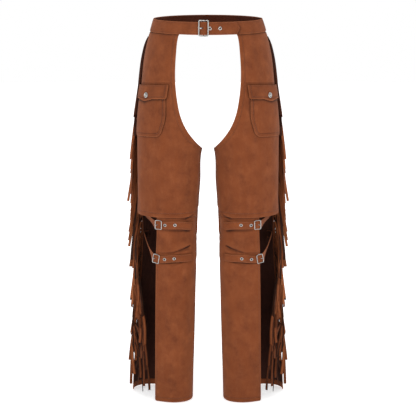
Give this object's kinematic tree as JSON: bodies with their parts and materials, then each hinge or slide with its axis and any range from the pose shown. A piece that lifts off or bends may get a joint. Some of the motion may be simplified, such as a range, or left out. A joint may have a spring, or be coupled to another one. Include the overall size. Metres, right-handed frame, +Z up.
{
  "type": "fringed suede chaps",
  "caption": "Western suede chaps in their worn, hollow form: buckled waistband, open seat, pocketed thighs, strapped lower legs open at the side, long fringe down each outseam.",
  "frame": {"origin": "centre of the waist ring, where the wearer's waist holds the chaps; the waistband's middle is 2 mm above it", "axes": "+Z up along the wearer, +X towards the wearer's left, -Y to the front"},
  "size_m": [0.459, 0.2209, 1.0377],
  "materials": {
    "brown_suede": "napped suede, matt",
    "polished_steel": "polished, slightly worn"
  },
  "bodies": {
    "root": {"back_panel_l": "brown_suede", "back_panel_r": "brown_suede", "belt_buckle": "polished_steel", "belt_eyelet_1": "polished_steel", "belt_eyelet_2": "polished_steel", "belt_prong": "polished_steel", "calf_buckle_l": "polished_steel", "calf_buckle_r": "polished_steel", "calf_eyelet_1_l": "polished_steel", "calf_eyelet_1_r": "polished_steel", "calf_eyelet_2_l": "polished_steel", "calf_eyelet_2_r": "polished_steel", "calf_prong_l": "polished_steel", "calf_prong_r": "polished_steel", "calf_strap_l": "brown_suede", "calf_strap_r": "brown_suede", "fringe_l": "brown_suede", "fringe_r": "brown_suede", "knee_buckle_l": "polished_steel", "knee_buckle_r": "polished_steel", "knee_eyelet_1_l": "polished_steel", "knee_eyelet_1_r": "polished_steel", "knee_eyelet_2_l": "polished_steel", "knee_eyelet_2_r": "polished_steel", "knee_prong_l": "polished_steel", "knee_prong_r": "polished_steel", "knee_rivet_1_l": "polished_steel", "knee_rivet_1_r": "polished_steel", "knee_rivet_2_l": "polished_steel", "knee_rivet_2_r": "polished_steel", "knee_strap_l": "brown_suede", "knee_strap_r": "brown_suede", "pocket_button_l": "polished_steel", "pocket_button_r": "polished_steel", "pocket_flap_l": "brown_suede", "pocket_flap_r": "brown_suede", "pocket_l": "brown_suede", "pocket_r": "brown_suede", "shin_front_l": "brown_suede", "shin_front_r": "brown_suede", "thigh_front_l": "brown_suede", "thigh_front_r": "brown_suede", "waistband": "brown_suede"}
  },
  "joints": []
}
